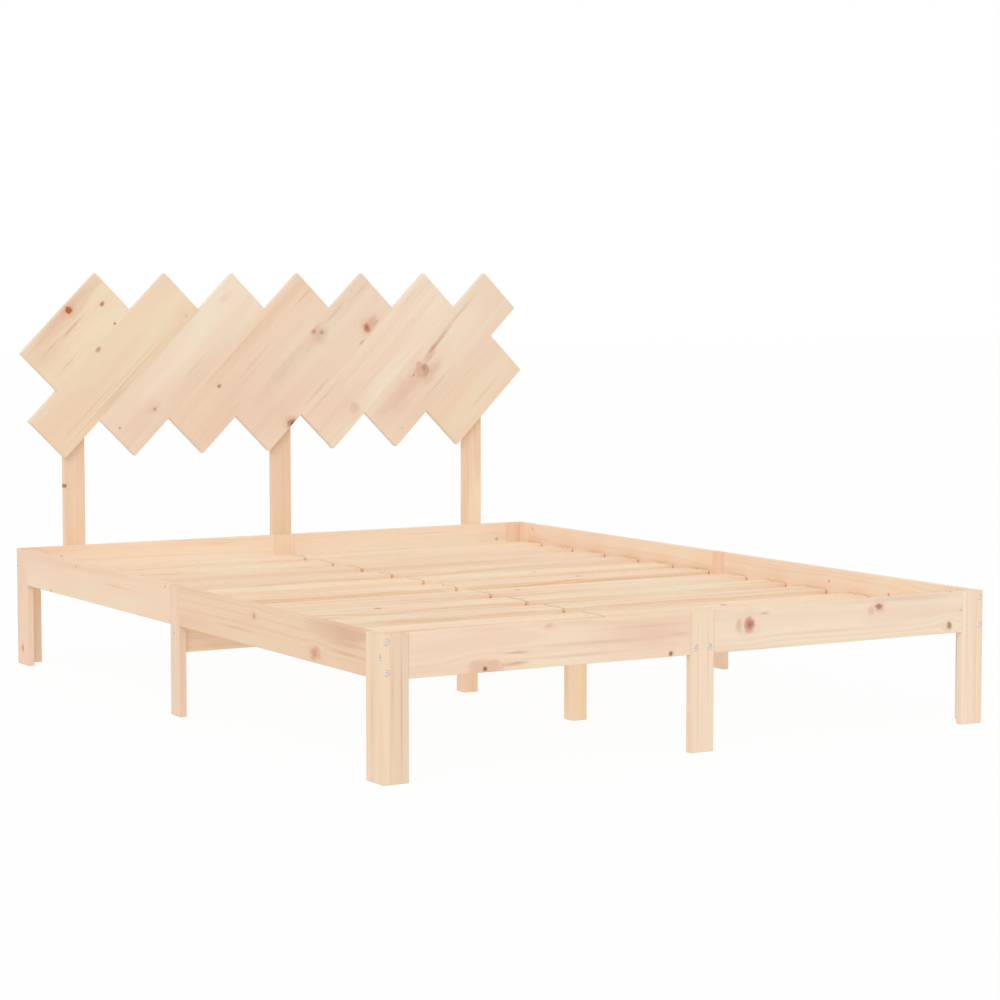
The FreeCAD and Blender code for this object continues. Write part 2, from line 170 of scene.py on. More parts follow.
def makeKnotGroup():
    # a knot, or with Soft at 1 and a long Stretch a streak. It adds to the marks and parts the grain.
    inputs = {
        "Board point": "Vector", "Bent point": "Vector", "Marks": "Vector", "Place": "Vector",
        "Radius": ("Float", 8 * mm), "Stretch": ("Float", 1.0), "Red": ("Float", 0.5),
        "Strength": ("Float", 1.0), "Rim": ("Float", 0.4), "Core": ("Float", 0.6),
        "Soft": ("Float", 0.3), "Bend": ("Float", 1.0),
    }
    outputs = {"Bent point": "Vector", "Marks": "Vector"}
    tree, given, made = newGroup("knot", "ShaderNodeTree", inputs, outputs)
    form, radius = knotForm, given["Radius"]
    crisp = minus(tree, 1.0, given["Soft"])
    x, y, _ = split(tree, vectorCalc(tree, "SUBTRACT", given["Board point"], given["Place"]))
    shape = combine(tree, over(tree, x, given["Stretch"]), y, 0.0)
    shape = vectorCalc(tree, "DIVIDE", shape, combine(tree, radius, radius, radius))
    ragged = noise(tree, shape, form["strayWaves"], times(tree, radius, form["straySeed"]))["Fac"]
    reach = plus(tree, vectorCalc(tree, "LENGTH", shape), fade(tree, ragged, *form["stray"]))
    heartStart = plus(tree, 1.0, times(tree, given["Soft"], form["softEdge"]))
    heart = fade(tree, reach, heartStart, times(tree, crisp, form["crispEdge"]))
    broken = noise(tree, shape, form["rimWaves"], times(tree, radius, form["rimSeed"]), detail=0.0)["Fac"]
    rim = times(tree, fade(tree, reach, *form["rimInside"]), fade(tree, reach, *form["rimOutside"]))
    rim = times(tree, rim, fade(tree, broken, *form["rimBreaks"]))
    core = fade(tree, reach, *form["core"])
    years = calc(tree, "PINGPONG", times(tree, reach, form["years"]), 0.5)
    years = times(tree, heart, fade(tree, years, *form["yearShade"]), crisp)
    dark = larger(tree, times(tree, rim, given["Rim"]), times(tree, core, given["Core"]))
    brown = times(tree, heart, minus(tree, 1.0, given["Red"]))
    dark = larger(tree, plus(tree, dark, years), brown)
    halo = times(tree, calc(tree, "POWER", fade(tree, reach, *form["halo"]), form["haloFall"]), crisp)
    own = combine(tree, times(tree, heart, given["Red"]), dark, halo)
    own = vectorCalc(tree, "MULTIPLY", own, combine(tree, *[given["Strength"]] * 3))
    tree.links.new(vectorCalc(tree, "MAXIMUM", own, given["Marks"]), made["Marks"])
    # the grain parts in front of the knot and closes behind it
    flowLength = plus(tree, 1.0, times(tree, given["Stretch"], form["flow"]))
    away = vectorCalc(tree, "LENGTH", combine(tree, over(tree, x, flowLength), y, 0.0))
    share = over(tree, times(tree, radius, given["Bend"]), away)
    share = smaller(tree, calc(tree, "POWER", share, 2.0), 1.0)
    shift = combine(tree, 0.0, times(tree, y, share, -1.0), 0.0)
    tree.links.new(vectorCalc(tree, "ADD", given["Bent point"], shift), made["Bent point"])
    return tree


# near an edge the wood is darkened by dirt and by painted shade, as in the shadowed groove between boards
edgeWearAndShade = {"full": 0.3 * mm, "end": (0.7 * mm, 0.2 * mm)}  # distances from an edge, and from a sawn end


def makeEdgeGroup():
    inputs = {"Point": "Vector", "Half size": "Vector", "Ease": ("Float", 2.4 * mm)}
    tree, given, made = newGroup("eased edges", "ShaderNodeTree", inputs, {"Edge": "Float", "End": "Float"})
    inset = vectorCalc(tree, "SUBTRACT", given["Half size"], vectorCalc(tree, "ABSOLUTE", given["Point"]))
    x, y, z = split(tree, inset)
    # on a face the smallest inset is zero, so the middle one is the distance to the nearest edge
    nearest = larger(tree, smaller(tree, x, y), smaller(tree, larger(tree, x, y), z))
    # Edge is where dirt and painted shade darken the wood, at every eased edge
    tree.links.new(fade(tree, nearest, given["Ease"], edgeWearAndShade["full"]), made["Edge"])
    tree.links.new(fade(tree, x, *edgeWearAndShade["end"]), made["End"])
    return tree


# Waves are counted per metre along, across and through the board. Colours are as a paint program shows them.
pineGrain = {
    "pithSways": (((1.3, 5, 5), 30 * mm), ((9, 50, 50), 2.4 * mm)),  # waves, and how far the pith wanders
    "lateWood": (0.1, 0.82), "lateEnd": (1.0, 0.84),  # shares of a year in which dark wood comes and goes
    "yearShade": (0.25, 1.0, 0.1, 1.0),  # some years are darker than others
    "streakWaves": (1.4, 34, 34), "streakShade": (0.48, 0.75, 0.0, 0.3),
    "fibreWaves": (35, 1300, 1300), "fibreShade": (0.2, 0.8, 0.98, 1.02),
    "tickWaves": (60, 900, 900), "tickShade": (0.74, 0.82, 0.0, 0.12),  # short resin ticks
    "patchWaves": (2.6, 13, 13),  # slow patches, pink at one end of the noise and cream at the other
    "pink": (240, 206, 182), "pinkShade": (0.50, 0.68, 0.0, 0.45),
    "cream": (241, 225, 198), "creamShade": (0.46, 0.32, 0.0, 0.55),
    "halo": (232, 182, 148), "haloShare": 0.38,
    "heart": (200, 128, 106), "heartShare": 0.8,
    "resin": (188, 88, 40), "resinShade": (1.0, 1.5),  # the heart of a knot that is redder than 1
    "dark": (140, 80, 58), "darkShare": 0.85,
    # the colour at eased edges is dirt and also painted shade, for the shadowed grooves between boards
    "edgeDirtAndShade": (201, 156, 116), "dirtAndShadeFade": (0.3, 0.7, 0.06, 0.20),
    "sawnEnd": (214, 170, 130), "sawnShare": 0.26,
    "roughness": (0.2, 0.8, 0.56, 0.70), "knotGloss": 0.12,
    "fibreRelief": 0.5, "lateRelief": 0.35, "knotRelief": 0.4,
}


def makePineGroup():
    inputs = {
        "Point": "Vector", "Bent point": "Vector", "Marks": "Vector", "Seed": "Float",
        "Pith": ("Vector", (0, 0, 60 * mm)), "Lean": "Vector", "Ring width": ("Float", 3 * mm),
        "Contrast": ("Float", 0.5), "Pale": "Color", "Deep": "Color", "Tone": ("Vector", (1, 1, 1)),
        "Half size": "Vector", "Edge dirt and shade": ("Float", 1.0),
    }
    outputs = {"Color": "Color", "Roughness": "Float", "Height": "Float"}
    tree, given, made = newGroup("pine grain", "ShaderNodeTree", inputs, outputs)
    wood, point, seed = pineGrain, given["Bent point"], given["Seed"]

    def stained(colour, share, stain):
        return mixColour(tree, share, colour, paint(*wood[stain]))

    # growth rings about a pith that wanders and leans along the board
    along = split(tree, point)[0]
    centre = vectorCalc(tree, "SUBTRACT", point, given["Pith"])
    for waves, reach in wood["pithSways"]:
        sway = noise(tree, point, waves, seed, detail=1.0)["Color"]
        sway = vectorCalc(tree, "SUBTRACT", sway, (0.5, 0.5, 0.5))
        centre = vectorCalc(tree, "ADD", centre, vectorCalc(tree, "MULTIPLY", sway, (0, reach, reach)))
    lean = vectorCalc(tree, "MULTIPLY", given["Lean"], combine(tree, along, along, along))
    centre = vectorCalc(tree, "MULTIPLY", vectorCalc(tree, "ADD", centre, lean), (0, 1, 1))
    years = over(tree, vectorCalc(tree, "LENGTH", centre), given["Ring width"])
    season = calc(tree, "FRACT", years)
    yearSeed = plus(tree, calc(tree, "FLOOR", years), seed)
    year = addNode(tree, "ShaderNodeTexWhiteNoise", {"W": yearSeed}, noise_dimensions="1D").outputs["Value"]
    late = times(tree, fade(tree, season, *wood["lateWood"]), fade(tree, season, *wood["lateEnd"]))
    late = times(tree, late, fade(tree, year, *wood["yearShade"]))
    # streaks, fibres, resin ticks and slow patches over the rings
    streak = noise(tree, point, wood["streakWaves"], seed, detail=1.5)["Fac"]
    fibre = noise(tree, point, wood["fibreWaves"], seed)["Fac"]
    tick = noise(tree, point, wood["tickWaves"], seed, detail=0.0)["Fac"]
    patch = noise(tree, point, wood["patchWaves"], seed, detail=1.0)["Fac"]
    amount = plus(tree, times(tree, late, given["Contrast"]), fade(tree, streak, *wood["streakShade"]))
    amount = plus(tree, amount, fade(tree, tick, *wood["tickShade"]))
    colour = mixColour(tree, amount, given["Pale"], given["Deep"])
    colour = stained(colour, fade(tree, patch, *wood["pinkShade"]), "pink")
    colour = stained(colour, fade(tree, patch, *wood["creamShade"]), "cream")
    # knots over the grain: pale orange halo, red-brown heart, dark rim and core
    red, dark, halo = split(tree, given["Marks"])
    colour = stained(colour, times(tree, halo, wood["haloShare"]), "halo")
    colour = stained(colour, times(tree, red, wood["heartShare"]), "heart")
    colour = stained(colour, fade(tree, red, *wood["resinShade"]), "resin")
    colour = stained(colour, times(tree, dark, wood["darkShare"]), "dark")
    # eased edges get a little dirt and painted shade, a darker line as if shadowed in the groove between
    # boards; sawn ends drink the light
    edges = {"Point": given["Point"], "Half size": given["Half size"]}
    edges = addNode(tree, "ShaderNodeGroup", edges, node_tree=edgeGroup).outputs
    dirtAndShade = times(tree, edges["Edge"], fade(tree, patch, *wood["dirtAndShadeFade"]), given["Edge dirt and shade"])
    colour = stained(colour, dirtAndShade, "edgeDirtAndShade")
    colour = stained(colour, times(tree, edges["End"], wood["sawnShare"], given["Edge dirt and shade"]), "sawnEnd")
    bright = fade(tree, fibre, *wood["fibreShade"])
    toned = vectorCalc(tree, "MULTIPLY", given["Tone"], combine(tree, bright, bright, bright))
    tree.links.new(vectorCalc(tree, "MULTIPLY", colour, toned), made["Color"])
    rough = minus(tree, fade(tree, fibre, *wood["roughness"]), times(tree, red, wood["knotGloss"]))
    tree.links.new(rough, made["Roughness"])
    height = plus(tree, times(tree, fibre, wood["fibreRelief"]), times(tree, late, wood["lateRelief"]))
    tree.links.new(plus(tree, height, times(tree, red, wood["knotRelief"])), made["Height"])
    return tree


plating = {
    "cloudWaves": (350, 350, 350), "cloudShade": (0.4, 0.75), "cloudSeed": 2.0,
    "scratchWaves": (4000, 900, 4000), "scratchSeed": 5.0,
    "roughness": (0.3, 0.7, 0.30, 0.46),
}


def makeMetalGroup():
    inputs = {"Point": "Vector", "Base": "Color", "Stain": "Color"}
    outputs = {"Color": "Color", "Roughness": "Float", "Height": "Float"}
    tree, given, made = newGroup("plated steel", "ShaderNodeTree", inputs, outputs)
    cloud = noise(tree, given["Point"], plating["cloudWaves"], plating["cloudSeed"], detail=3.0)["Fac"]
    scratch = noise(tree, given["Point"], plating["scratchWaves"], plating["scratchSeed"], detail=1.0)["Fac"]
    colour = mixColour(tree, fade(tree, cloud, *plating["cloudShade"]), given["Base"], given["Stain"])
    tree.links.new(colour, made["Color"])
    tree.links.new(fade(tree, cloud, *plating["roughness"]), made["Roughness"])
    tree.links.new(scratch, made["Height"])
    return tree


knotGroup = makeKnotGroup()
edgeGroup = makeEdgeGroup()
pineGroup = makePineGroup()
metalGroup = makeMetalGroup()
print("surface groups made")


# Marks in the wood, in millimetres from the middle of a board: along the grain, then across it
def knot(along, across, radius, red=0.7, strength=1.0, stretch=1.0, rim=0.4, core=0.6, soft=0.3, bend=1.5):
    return {
        "Place": (along * mm, across * mm, 0), "Radius": radius * mm, "Stretch": stretch, "Red": red,
        "Strength": strength, "Rim": rim, "Core": core, "Soft": soft, "Bend": bend,
    }


def blush(along, across, radius, strength, stretch=1.0, soft=0.7):
    # a red tint beside or around a knot
    return knot(along, across, radius, 1, strength, stretch, rim=0, core=0, soft=soft, bend=0)


def streak(along, across, length, width, red=0.7, strength=0.35):
    return knot(along, across, width / 2, red, strength, length / width, rim=0, core=0, soft=1, bend=0)


boardMarks = {
    "headboard_plank_1": [
        knot(25, -56, 11.5, red=1, strength=1.35, stretch=0.9, rim=0.1, core=0.1, soft=0.25),
        knot(104, 0, 5.5, red=0.1, strength=0.9, stretch=1.5, soft=0.5), knot(92, 62, 3.5, red=0, soft=0.6),
        streak(-4, -17, 110, 12, red=0.5, strength=0.45), streak(10, -58, 320, 54, red=1, strength=0.4),
        streak(-80, -22, 110, 9, strength=0.4), streak(-80, 42, 80, 8, red=0.5, strength=0.28),
        streak(-100, -20, 140, 110, red=0.9, strength=0.14),
    ],
    "headboard_plank_2": [
        knot(-5, -64, 7, red=0.4, strength=0.7, stretch=1.2, core=0.9, soft=0.5),
        knot(238, 52, 9, red=0.9, strength=0.22, soft=0.8), streak(-80, 60, 200, 22, red=0.8, strength=0.24),
        streak(0, 40, 460, 12, red=0.8, strength=0.12), streak(-30, 4, 300, 60, red=1, strength=0.1),
        streak(-60, 52, 400, 6, red=0.6, strength=0.3), streak(-130, 31, 260, 5, red=0.5, strength=0.28),
    ],
    "headboard_plank_3": [
        knot(-147, 24, 5, red=0.5, strength=0.85, soft=0.4),
        knot(-253, -14, 4, red=0.2, strength=0.8, soft=0.6),
        knot(212, -39, 12, red=0.8, strength=0.15, stretch=1.8, soft=0.8),
        streak(-152, 16, 80, 52, red=1, strength=0.22), streak(-210, 30, 180, 90, red=0.9, strength=0.12),
        streak(20, 29, 130, 12, red=0.8, strength=0.2), streak(0, 58, 620, 64, red=1, strength=0.2),
    ],
    "headboard_plank_4": [
        knot(-112, -24, 6, red=0.4, soft=0.4), streak(245, -13, 90, 8, strength=0.28),
        streak(0, 6, 200, 14, red=0.8, strength=0.18), streak(-120, 40, 420, 120, red=0.9, strength=0.12),
        streak(-30, -55, 320, 9, strength=0.14),
    ],
    "headboard_plank_5": [
        knot(180, 50, 16, red=0.85, strength=1.3, rim=0, soft=0.7, bend=0.7),
        blush(186, 46, 27, 0.34, soft=1),
        streak(200, 46, 60, 34, red=1, strength=0.55), streak(208, 58, 38, 12, red=0.3, strength=0.5),
        streak(139, 66, 28, 9, red=0.1, strength=0.5), streak(-90, -52, 460, 62, red=1, strength=0.25),
        knot(55, -63, 6, red=0.4, strength=0.75, core=0.9, bend=0.9),
        knot(71, -44, 6, red=0.4, strength=0.7, core=0.9, bend=0.9),
        streak(60, -50, 76, 64, red=1, strength=0.52), streak(-180, 0, 240, 120, red=1, strength=0.1),
        streak(10, -42, 80, 14, strength=0.22), streak(130, -53, 120, 11, red=0.9, strength=0.28),
        knot(-173, 66, 12, strength=1.2, stretch=1.3, rim=0.2, core=1, bend=0.8),
        streak(236, -40, 110, 9, strength=0.26), streak(-55, 62, 120, 9),
        knot(-175, 63, 19, red=1, strength=0.34, rim=0.5, core=0, soft=0.6, bend=0),
    ],
    "headboard_plank_6": [
        knot(-150, 36, 20, red=0.85, strength=0.36, rim=0.1, core=0, soft=0.5, bend=0.8),
        streak(-195, -52, 170, 10, strength=0.22), streak(195, -57, 130, 9, strength=0.22),
        streak(-60, 20, 260, 9, strength=0.16), streak(-200, 24, 260, 110, red=1, strength=0.13),
    ],
    "headboard_plank_7": [
        knot(-69, -22, 23, red=1, strength=0.56, rim=0.9, core=0, soft=0.25, bend=0.9),
        knot(-53, -21, 13, red=0.3, strength=0.8, rim=0, core=0.5, soft=0.8, bend=0),
        streak(-60, -9, 30, 7, red=0.3, strength=0.6), streak(-93, -32, 16, 8, red=0.2, strength=0.7),
        streak(-45, 4, 110, 44, red=1, strength=0.36), streak(-18, -33, 60, 24, red=0.9, strength=0.45),
        streak(2, -41, 70, 17, red=1, strength=0.8), streak(40, -43, 110, 14, red=0.4, strength=0.55),
        streak(127, -49, 190, 10, strength=0.34), streak(-160, -20, 230, 80, red=1, strength=0.34),
        streak(-60, 41, 150, 7, red=0.5, strength=0.34), knot(-226, 47, 3, red=0.3, strength=0.5, soft=0.6),
        streak(-130, 54, 340, 80, red=1, strength=0.14), blush(-66, -14, 36, 0.28, soft=1),
    ],
    "headboard_plank_8": [streak(20, 30, 150, 10, strength=0.2)],
    "foot_rail_left_half": [
        knot(-164, -38, 20, red=1, strength=0.38, stretch=2.1, core=0, bend=1),
        knot(-166, -39, 5.5, red=0.1, strength=1.1, soft=0.5, bend=0),
        streak(-93, -10.5, 60, 6, red=0.4, strength=0.55), streak(-104, -34, 90, 8, red=0.8, strength=0.6),
        streak(-86, -32, 50, 5, red=0.2, strength=0.6), knot(292, -40, 6, red=0.05, soft=0.5),
        streak(240, 0, 340, 120, red=0.9, strength=0.14), streak(306, 2, 100, 8, red=1, strength=0.36),
        streak(100, -2, 480, 8, strength=0.3), streak(60, -26, 420, 8, strength=0.28),
        streak(230, 24, 300, 8, strength=0.28), knot(-12, 40, 6, red=0.8, strength=0.3, stretch=2, soft=0.7),
    ],
    "foot_rail_right_half": [
        knot(-250, 10, 17, red=1, stretch=0.85, rim=0.3, core=0.35, soft=0.4, bend=1),
        knot(-250, 8, 9, red=0.6, rim=0.5, core=1, soft=0.6, bend=0), blush(-279, 9, 19, 0.42, stretch=0.55),
        knot(103, 27, 7.5, red=0.55, strength=1.25, stretch=1.5, rim=0, soft=0.4, bend=1),
        blush(106, 26, 13, 0.4, stretch=1.4, soft=0.8), blush(82, 20, 13, 0.4, stretch=0.8),
        knot(305, -29, 9.5, red=0.35, strength=1.15, stretch=0.8, rim=0.3, core=1, soft=0.5),
        streak(-210, 32, 32, 8, red=0.3, strength=0.45), streak(341, 5, 12, 7, red=0.1, strength=0.5),
        streak(190, 42, 420, 20, red=1, strength=0.34), streak(-60, -18, 420, 9, strength=0.16),
    ],
    "side_rail_left_foot_half": [
        knot(-236, -27, 18, red=1, strength=0.75, stretch=1.6, rim=0, core=0.1, soft=0.9, bend=0.8),
        streak(-412, 23, 150, 8, strength=0.46), streak(-392, 7, 200, 8, strength=0.4),
        streak(-380, -11, 210, 8, strength=0.36), streak(-370, 34, 320, 70, red=1, strength=0.42),
        knot(60, 20, 6, red=0.4, strength=0.7, soft=0.5), streak(150, -15, 200, 9, strength=0.25),
    ],
    "side_rail_left_head_half": [
        knot(-437, 39, 4, red=0.4, strength=0.7, soft=0.5), knot(119, 35, 4, red=0.4, strength=0.6, soft=0.5),
        knot(293, -44, 5, red=0.3, strength=0.7, soft=0.5), streak(-150, 10, 260, 7, strength=0.25),
    ],
    "corner_leg_foot_left_end_board": [
        streak(0, 4, 306, 5, red=0.5, strength=0.4), streak(30, -16, 220, 7, strength=0.22),
    ],
    "corner_leg_foot_left_side_board": [streak(-10, 10, 290, 8, strength=0.25)],
    "corner_leg_foot_right_end_board": [streak(20, -8, 260, 6, strength=0.22)],
    "corner_leg_head_left_side_board": [knot(-109, 0, 6, red=0.3, strength=0.9, stretch=1.8, soft=0.4)],
    "mid_leg_foot": [streak(-20, -12, 300, 6, strength=0.2), streak(30, 14, 220, 6, strength=0.2)],
    "mid_leg_left": [streak(-40, 6, 200, 6, strength=0.22)],
    "inner_leg_foot": [streak(0, 8, 200, 7, strength=0.22)],
    "inner_leg_middle": [streak(20, -10, 180, 7, strength=0.22)],
    "inner_leg_head": [streak(-20, 4, 180, 7, strength=0.22)],
    "headboard_post_left": [
        knot(-106, -27, 4, red=0.1, stretch=1.5, rim=0.2, soft=0.2), streak(180, 8, 300, 7, strength=0.25),
    ],
    "headboard_post_middle": [streak(150, -8, 380, 8, strength=0.25)],
    "headboard_post_right": [streak(150, 6, 380, 8, strength=0.25)],
}


def scattered(seed, half):
    # chance marks for a board whose face the photograph hides
    pick = random.Random(seed)
    length, width = half[0] / mm, half[1] / mm
    found = []
    for _ in range(pick.choice((0, 1, 1, 2))):
        place = (pick.uniform(-0.85, 0.85) * length, pick.uniform(-0.8, 0.8) * width)
        radius = pick.uniform(3, min(9, width / 3))
        red, strength = pick.uniform(0.1, 1), pick.uniform(0.6, 1.1)
        found.append(knot(*place, radius, red, strength, soft=0.4))
    for _ in range(pick.choice((1, 2))):
        place = (pick.uniform(-0.7, 0.7) * length, pick.uniform(-0.7, 0.7) * width)
        found.append(streak(*place, pick.uniform(0.2, 0.7) * length, pick.uniform(5, 9), strength=0.25))
    return found


# How each kind of board looks. Colours are as a paint program shows them, rings are millimetres wide.
boardLooks = {
    # the edge share darkens eased edges with dirt and painted shade, and sawn ends with their own darker tone
    "plank": {"pale": (242, 218, 193), "deep": (227, 189, 155), "contrast": 0.18, "rings": 9, "edgeDirtAndShade": 0},
    "rail": {"pale": (244, 220, 194), "deep": (226, 187, 150), "contrast": 0.30, "rings": 7, "edgeDirtAndShade": 0.6},
    "leg": {"pale": (243, 217, 190), "deep": (227, 189, 152), "contrast": 0.20, "rings": 6, "edgeDirtAndShade": 0.6},
    "post": {"pale": (241, 212, 182), "deep": (224, 181, 142), "contrast": 0.35, "rings": 6, "edgeDirtAndShade": 0.6},
    "inner": {"pale": (246, 220, 188), "deep": (228, 185, 144), "contrast": 0.40, "rings": 4, "edgeDirtAndShade": 0.6},
    "slat": {"pale": (243, 218, 189), "deep": (224, 182, 142), "contrast": 0.50, "rings": 5, "edgeDirtAndShade": 0.8},
    "dowel": {"pale": (226, 190, 150), "deep": (203, 160, 118), "contrast": 0.50, "rings": 1.2, "edgeDirtAndShade": 0},
}
# shares by which single boards are darker or warmer than their kind: red, green, blue
boardTones = {
    "headboard_plank_1": (1.002, 1.015, 1.003),
    "headboard_plank_2": (0.995, 1.0, 0.985),
    "headboard_plank_3": (0.99, 1.015, 1.035),
    "headboard_plank_4": (0.991, 0.985, 0.991),
    "headboard_plank_5": (0.985, 0.995, 1.01),
    "headboard_plank_6": (0.998, 1.022, 1.04),
    "headboard_plank_7": (0.995, 1.01, 1.02),
    "headboard_plank_8": (0.979, 0.973, 0.968),
    "headboard_post_middle": (0.97, 0.975, 0.97),
    "foot_rail_left_half": (1.0, 0.99, 0.99),
    "foot_rail_right_half": (1.0, 1.02, 1.03),
    "side_rail_left_foot_half": (0.962, 0.925, 0.895),
    "side_rail_left_head_half": (0.995, 0.968, 0.955),
    # this board is darker partly as painted shade, for the shaded side of the corner leg
    "corner_leg_foot_left_end_board": (0.97, 0.958, 0.953),
    "corner_leg_foot_left_side_board": (1.0, 1.005, 0.99),
    "corner_leg_foot_right_end_board": (1.0, 1.01, 1.03),
    "corner_leg_head_left_side_board": (0.985, 0.95, 0.95),
    "mid_leg_left": (0.97, 0.95, 0.95),
    "mid_leg_right": (1.0, 0.95, 0.94),
    "inner_leg_foot": (1.04, 1.04, 1.03),
    "inner_leg_middle": (1.02, 0.99, 0.99),
}
boardFinish = {
    "tintSpread": 0.01,  # chance difference in brightness between boards
    "pithSide": 45 * mm,  # how far to the side of a board its pith may be
    "pithDepth": (30 * mm, 75 * mm),
    "lean": 0.016,  # how far the pith may drift, in metres to a metre of board
    "seeds": 50,  # the grain of a board is picked between zero and this
    "bumpStrength": 0.35,
    "bumpDistance": 0.5 * mm,
    "specular": 0.28,
    "toneCurve": 2.2,  # tones are shares of the colour as seen, and the shader works in linear light
}


def wireSurface(tree, surface, strength, distance):
    # colour, roughness and relief of a surface group reach the Principled BSDF of its material
    shader = tree.nodes["Principled BSDF"]
    relief = {"Strength": strength, "Distance": distance, "Height": surface.outputs["Height"]}
    bump = addNode(tree, "ShaderNodeBump", relief)
    tree.links.new(surface.outputs["Color"], shader.inputs["Base Color"])
    tree.links.new(surface.outputs["Roughness"], shader.inputs["Roughness"])
    tree.links.new(bump.outputs["Normal"], shader.inputs["Normal"])
    return shader


def pineMaterial(name, middle, along, across, half, look, marks, seed):
    pick = random.Random(seed)
    material = bpy.data.materials.new("pine_" + name)
    material.use_nodes = True
    tree = material.node_tree
    point = addNode(tree, "ShaderNodeTexCoord").outputs["Object"]
    turn = Matrix((along, across, along.cross(across))).transposed().to_euler()
    board = {"Vector": point, "Location": middle, "Rotation": turn}
    board = addNode(tree, "ShaderNodeMapping", board, vector_type="TEXTURE").outputs[0]
    bent, found = board, (0, 0, 0)
    for mark in marks:
        inputs = {**mark, "Board point": board, "Bent point": bent, "Marks": found}
        bent, found = addNode(tree, "ShaderNodeGroup", inputs, node_tree=knotGroup).outputs
    tint = 1 + pick.uniform(-1, 1) * boardFinish["tintSpread"]
    side = pick.uniform(-1, 1) * boardFinish["pithSide"]
    depth = pick.choice((-1, 1)) * pick.uniform(*boardFinish["pithDepth"])
    leans = [pick.uniform(-1, 1) * boardFinish["lean"] for _ in range(2)]
    values = {
        "Point": board, "Bent point": bent, "Marks": found, "Seed": pick.uniform(0, boardFinish["seeds"]),
        "Half size": half, "Pith": (0, side, depth), "Lean": (0, *leans), "Ring width": look["rings"] * mm,
        "Contrast": look["contrast"], "Pale": paint(*look["pale"]), "Deep": paint(*look["deep"]),
        "Tone": [(share * tint) ** boardFinish["toneCurve"] for share in boardTones.get(name, (1, 1, 1))],
        "Edge dirt and shade": look["edgeDirtAndShade"],
    }
    grain = addNode(tree, "ShaderNodeGroup", values, node_tree=pineGroup)
    shader = wireSurface(tree, grain, boardFinish["bumpStrength"], boardFinish["bumpDistance"])
    shader.inputs["Specular IOR Level"].default_value = boardFinish["specular"]
    return material


metalFinish = {"bumpStrength": 0.15, "bumpDistance": 0.1 * mm}


def metalMaterial(name, base, stain):
    material = bpy.data.materials.new(name)
    material.use_nodes = True
    tree = material.node_tree
    point = addNode(tree, "ShaderNodeTexCoord").outputs["Object"]
    values = {"Point": point, "Base": paint(*base), "Stain": paint(*stain)}
    metal = addNode(tree, "ShaderNodeGroup", values, node_tree=metalGroup)
    shader = wireSurface(tree, metal, metalFinish["bumpStrength"], metalFinish["bumpDistance"])
    shader.inputs["Metallic"].default_value = 1.0
    return material


# The straight boards keep their own shape and get a finish each
boardKinds = {
    "corner_leg": "leg", "mid_leg": "leg", "headboard_post": "post",
    "side_rail": "rail", "foot_rail": "rail", "head_rail": "rail",
    "inner_leg": "inner", "ledger": "inner", "centre_beam": "inner", "cross_beam": "inner",
}


def boardAxes(node):
    # middle, directions along and across the grain, and half sizes from the longest to the shortest
    low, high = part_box(node)
    size = high - low
    order = sorted(range(3), key=lambda axis: -size[axis])
    axes = [(axisX, axisY, axisZ)[axis] for axis in order]
    return (low + high) / 2, axes[0], axes[1], [size[axis] / 2 for axis in order]


def finishBoards():
    count = 0
    for seed, (name, node) in enumerate(sorted(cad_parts.items())):
        kind = next((look for start, look in boardKinds.items() if name.startswith(start)), None)
        if kind is None:
            continue
        middle, along, across, half = boardAxes(name)
        marks = boardMarks[name] if name in boardMarks else scattered(seed, half)
        material = pineMaterial(name, middle, along, across, half, boardLooks[kind], marks, seed)
        node.data.materials.clear()
        node.data.materials.append(material)
        count += 1
    print("straight boards finished:", count)


# Geometry Nodes: trees for what repeats
def without(tree, body, cutters):
    cut = addNode(tree, "GeometryNodeMeshBoolean", {"Mesh 1": body}, operation="DIFFERENCE")
    for cutter in cutters:
        tree.links.new(cutter, cut.inputs["Mesh 2"])
    return cut.outputs[0]


def together(tree, shapes):
    joined = addNode(tree, "GeometryNodeJoinGeometry")
    for shape in shapes:
        tree.links.new(shape, joined.inputs[0])
    return joined.outputs[0]


def placed(tree, shape, place, turn=(0, 0, 0)):
    inputs = {"Geometry": shape, "Translation": place, "Rotation": turn}
    return addNode(tree, "GeometryNodeTransform", inputs).outputs[0]


def closeTree(tree, shape, material, result):
    single = addNode(tree, "GeometryNodeRealizeInstances", {"Geometry": shape})
    finished = addNode(tree, "GeometryNodeSetMaterial", {"Geometry": single.outputs[0], "Material": material})
    tree.links.new(finished.outputs[0], result)


def grown(name, tree, values, start=None):
    # runs a tree once and keeps its result as a plain mesh
    piece = bpy.data.objects.new(name, start or bpy.data.meshes.new(name))
    scene.collection.objects.link(piece)
    modifier = piece.modifiers.new("shape", "NODES")
    modifier.node_group = tree
    sockets = [item for item in tree.interface.items_tree if item.item_type == "SOCKET"]
    identifiers = {socket.name: socket.identifier for socket in sockets if socket.in_out == "INPUT"}
    for key, value in values.items():
        modifier[identifiers[key]] = value
    depsgraph = bpy.context.evaluated_depsgraph_get()
    mesh = bpy.data.meshes.new_from_object(piece.evaluated_get(depsgraph), depsgraph=depsgraph)
    piece.modifiers.remove(modifier)
    piece.data = mesh
    mesh.name = name
    return piece


def standFor(piece, node):
    # the piece takes the place of a node of the frame
    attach(piece, "root")
    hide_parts(node)


